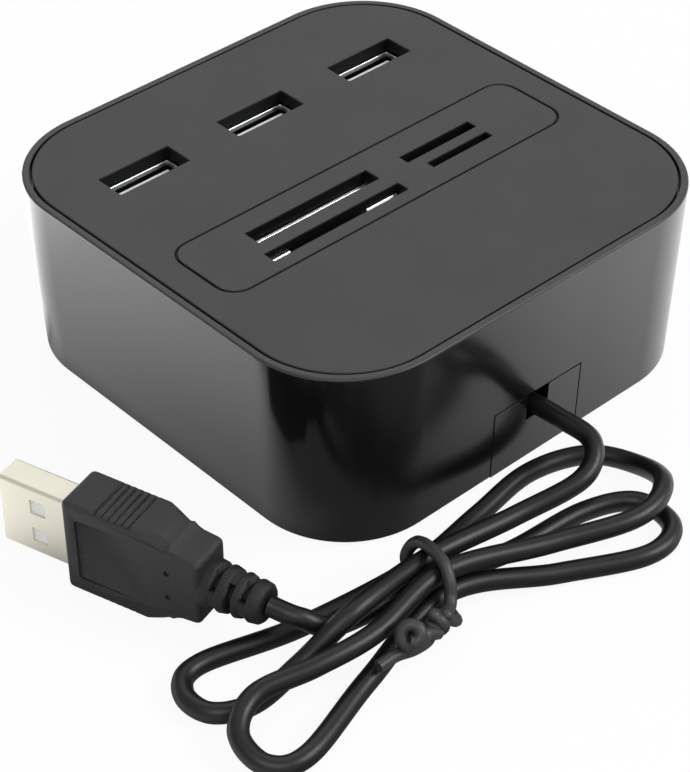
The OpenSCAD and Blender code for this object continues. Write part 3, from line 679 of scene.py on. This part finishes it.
# Lathe-turned rings, cut by slots that face up and down, then sideways, in turn
def makeBoot():
    long, end, root = plug["boot"] + 0.5, plug["bootEnd"], plug["bootRoot"]
    outline = [(0, end - 0.75), (0.12, end - 0.35), (0.5, end)]
    for middle, half, _ in plug["ribs"]:
        size = end + (root - end) * middle / plug["boot"]
        edge = [(half + 0.3, size), (half + 0.1, size - 0.05), (half, size - 0.18)]
        outline += [(middle - x, radius) for x, radius in edge] + [(middle + x, radius) for x, radius in edge[::-1]]
    mesh = bmesh.new()
    line = [mesh.verts.new((radius, 0, x)) for x, radius in [(0, 0), *outline, (long, root), (long, 0)]]
    edges = [mesh.edges.new(pair) for pair in zip(line, line[1:])]
    bmesh.ops.spin(mesh, geom=line + edges, cent=(0, 0, 0), axis=(0, 0, 1), angle=math.tau, steps=64,
                   use_merge=True)
    bmesh.ops.remove_doubles(mesh, verts=mesh.verts, dist=0.001)
    piece = formed(mesh, "boot", plugMove @ layDown)
    return carved(piece, *(makeRibCut(*rib) for rib in plug["ribs"]))


def makeRibCut(middle, half, facing):
    mesh, core, arc = bmesh.new(), plug["ribCore"], plug["ribArc"]
    for side in (0, 180):
        face = [mesh.verts.new((radius, 0, middle + half * sign))
                for radius, sign in ((core, -1), (6, -1), (6, 1), (core, 1))]
        first = mesh.faces.new(face)
        bmesh.ops.rotate(mesh, verts=face, cent=(0, 0, 0),
                         matrix=Matrix.Rotation(math.radians(facing + side - arc / 2), 3, "Z"))
        bmesh.ops.spin(mesh, geom=[first, *first.edges, *first.verts], cent=(0, 0, 0), axis=(0, 0, 1),
                       angle=math.radians(arc), steps=20)
    return formed(closeEnds(mesh), "ribCut", plugMove @ layDown)


# A slanted cutter that takes the edge between a wide face and the shoulder's slope
def addFacet(mesh, side, end, neckHalf):
    along = Vector((plug["block"] - plug["neck"], 0, end * (plug["wide"] / 2 - neckHalf))).normalized()
    out = (Vector((-abs(along.z), 0, end * along.x)) + Vector((0, side, 0))).normalized()
    edge = block(mesh, (0, -plug["facet"], -4), (9, 3, 4))
    for v in edge:
        if v.co.x < 1:
            v.co.x = -3.2 if v.co.y > 0 else 1.6
    aim = Matrix((along, out, along.cross(out))).transposed().to_4x4()
    corner = Matrix.Translation((plug["neck"], side * plug["thick"] / 2, end * neckHalf))
    bmesh.ops.transform(mesh, verts=edge, matrix=corner @ aim)


def makeGripCuts(neckHalf):
    thick, wide, face = plug["thick"] / 2, plug["wide"] / 2, plug["face"]
    mesh = bmesh.new()
    for side in (-1, 1):
        for k in range(plug["grooves"]):
            x = face - 5.6 - plug["grooveStep"] * k
            block(mesh, (x - 0.25, -thick - 1, side * wide - 0.45), (x + 0.25, thick + 1, side * wide + 0.45))
        depth, inward = plug["panelDepth"], wide - plug["panelIn"]
        block(mesh, (plug["block"] - 0.6, side * thick - depth, -inward),
              (face - 2.2, side * thick + depth, inward), 0.5, along=1)
        for end in (-1, 1):
            addFacet(mesh, side, end, neckHalf)
    block(mesh, (face - plug["inside"], -plug["metal"] / 2, -plug["metalWide"] / 2),
          (face + 2, plug["metal"] / 2, plug["metalWide"] / 2), 0.5, along=0)
    return formed(mesh, "gripCuts", plugMove)


def makeGrip():
    thick, wide, neck = plug["thick"] / 2, plug["wide"] / 2, plug["wide"] * 0.34
    half = [(plug["boot"] - 0.2, neck), (plug["neck"], neck + 0.5), (plug["block"], wide), (plug["face"], wide)]
    mesh = bmesh.new()
    prism(mesh, [(x, -z) for x, z in half] + half[::-1], 1, -thick, thick)
    for v in mesh.verts:
        if v.co.x < plug["neck"] + 0.1:
            v.co.y *= 0.88
    bmesh.ops.bevel(mesh, geom=mesh.edges[:], offset=plug["round"], segments=4, affect="EDGES", profile=0.5,
                    material=-1)
    piece = formed(mesh, "plugGrip", plugMove)
    pits = bmesh.new()
    for z in plug["pits"]:
        place = Matrix.Translation((plug["block"] - 1.6, thick, z)) @ Matrix.Rotation(math.pi / 2, 4, "X")
        rod(pits, place, 0.45, 2, 20)
    piece = carved(piece, makeGripCuts(neck + 0.5), formed(pits, "gripPits", plugMove))
    boot = makeBoot()
    whole = bmesh.new()
    whole.from_mesh(piece.data)
    whole.from_mesh(boot.data)
    whole.to_mesh(piece.data)
    whole.free()
    bpy.data.objects.remove(boot)
    return standsFor(softened(piece, 0.1, 2, 40), "plug_grip")


def makePlugShell():
    w, t, s = plug["metalWide"] / 2, plug["metal"] / 2, plug["sheet"]
    start, tip, corner = plug["face"] - plug["inside"], plug["tip"], 0.6
    profile = fillet([(w, start, 0), (w, tip, 0.149), (w - s, tip, 0.149), (w - s, start, 0)])
    mesh = carryRound(bmesh.new(), profile, w - corner, t - corner, 8, close=True)
    piece = formed(mesh, "plugShell", plugMove @ layDown)
    windows = bmesh.new()
    for z in plug["windows"]:
        block(windows, (tip - 7.65, -t - 1, z - 1.25), (tip - 5.15, t + 1, z + 1.25), 0.15, along=1)
    return standsFor(softened(carved(piece, formed(windows, "windows", plugMove)), 0.05), "plug_shell")


plugGrip = makeGrip()
plugShell = makePlugShell()
plugInsert = fromSolid("plug_insert", "plugInsert", 0.15)
plugContacts = fromSolid("plug_contacts", "plugContacts", 0.04)

# Solids that no piece stands for are shown as they are
for name, node in nodes.items():
    if not node.hide_render:
        dress(node, slotOf[name])
print("stage: plug made")

round(lineLength(cordLine), 4)


# Floor, lamps and world. The gloss walls mirror the floor as a backdrop whose glow changes from place to
# place: each entry with three numbers is (gain, from, to) along X or Y, in metres, and each pair is a switch
studio = {"floor": 0.9, "glow": 0.92, "world": 0.42, "dim": 0.25, "leftBase": 0.4,
          "leftOut": (0.75, 0.038, 0.066), "leftAlong": (1.1, -0.02, 0.075), "leftBack": (2.8, 0.042, 0.1),
          "leftBeyond": (0.8, 0.0695, 0.077), "rightAlong": (2.0, -0.03, 0.075),
          "lit": (-0.082, -0.062), "turn": (0.036, 0.042), "behind": (0.03, 0.042),
          "lamps": {"key": ((0.62, -0.78, 0.8), 0.55, 9), "side": ((-0.6, -0.6, 1.1), 0.7, 5),
                    "fill": ((0.5, 0.6, 0.9), 0.9, 3)}}


def glowAlong(way, gain, low, high):
    return gain * way.ramp(low, high)


def mirroredGlow(s):
    x, y = s.axis(0), s.axis(1)
    left = (studio["leftBase"] + glowAlong(0 - x, *studio["leftOut"]) + glowAlong(y, *studio["leftAlong"])
            + glowAlong(y, *studio["leftBack"]))
    right = glowAlong(x, *studio["rightAlong"])
    turn = (0 - x).ramp(*studio["turn"]).math("MAXIMUM", y.ramp(*studio["behind"]))
    lit = (x + y).ramp(*studio["lit"])
    return studio["dim"] + lit * (right + (left - right) * turn) + glowAlong(0 - x, *studio["leftBeyond"])


def floorPaper():
    s = Sheet("floorPaper")
    rays = s.node("ShaderNodeLightPath")
    outs = rays.socket.node.outputs
    seen = Value(s, outs["Is Camera Ray"]).math("MAXIMUM", Value(s, outs["Is Transmission Ray"]))
    s.finish(Base_Color=grey(studio["floor"]), Roughness=0.9)
    lambert = Value(s, s.shader.outputs[0])
    white = s.node("ShaderNodeEmission", wires={"Color": (1, 1, 1), "Strength": 1.0})
    image = s.node("ShaderNodeEmission", wires={"Color": (1, 1, 1), "Strength": mirroredGlow(s)})
    paper = s.node("ShaderNodeMixShader", wires={0: seen * studio["glow"], 1: lambert, 2: white})
    blend = s.node("ShaderNodeMixShader", wires={0: Value(s, outs["Is Glossy Ray"]), 1: paper, 2: image})
    s.wire(s.tree.nodes["Material Output"].inputs["Surface"], blend)
    return s.material


def makeStudio():
    mesh = bmesh.new()
    bmesh.ops.create_grid(mesh, x_segments=1, y_segments=1, size=4)
    data = bpy.data.meshes.new("floor")
    mesh.to_mesh(data)
    mesh.free()
    data.materials.append(floorPaper())
    link("floor", data)
    world = bpy.data.worlds.new("studio")
    world.use_nodes = True
    world.node_tree.nodes["Background"].inputs["Color"].default_value = (1, 1, 1, 1)
    world.node_tree.nodes["Background"].inputs["Strength"].default_value = studio["world"]
    bpy.context.scene.world = world
    for name, (place, size, power) in studio["lamps"].items():
        lamp = bpy.data.lights.new(name, "AREA")
        lamp.size = size
        lamp.energy = power
        shone = link(name, lamp)
        shone.location = place
        shone.rotation_euler = (-Vector(place)).to_track_quat("-Z", "Y").to_euler()


makeStudio()
bpy.context.scene.view_settings.view_transform = "Standard"
print("stage: studio made")
